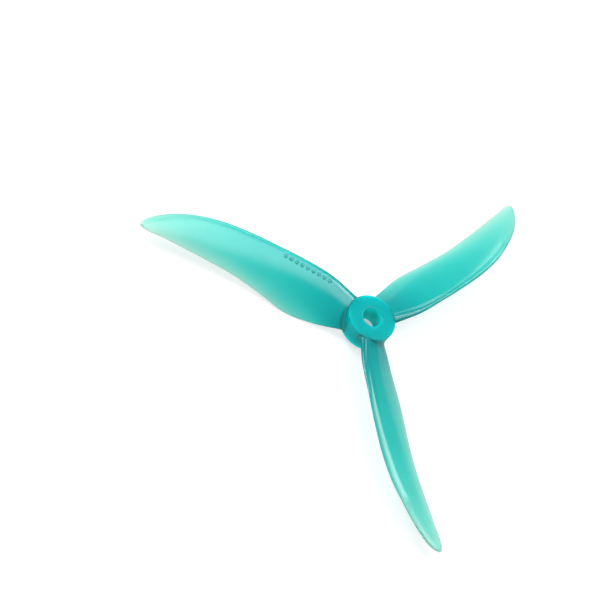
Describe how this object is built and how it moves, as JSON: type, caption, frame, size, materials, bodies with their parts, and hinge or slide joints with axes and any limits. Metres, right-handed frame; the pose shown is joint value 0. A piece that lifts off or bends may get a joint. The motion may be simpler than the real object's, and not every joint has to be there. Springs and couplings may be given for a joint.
{
  "type": "drone propeller",
  "caption": "Small drone propeller in clear teal plastic, with twisted, swept-back blades around a round hub that pushes over a motor shaft.",
  "frame": {"origin": "centre of the hub's underside, the face that sits on the motor, on the spin axis", "axes": "+Z along the spin axis, from the motor towards the nut; +X along blade_1's radial line; seen from +Z the propeller turns clockwise, so blade_1's leading edge is on its -Y side"},
  "size_m": [0.0997, 0.1127, 0.0081],
  "materials": {
    "tinted_plastic": "clear teal polycarbonate, glossy, pale where it is thin"
  },
  "bodies": {
    "root": {"hub": "tinted_plastic", "blade_1": "tinted_plastic", "blade_2": "tinted_plastic", "blade_3": "tinted_plastic"}
  },
  "joints": []
}
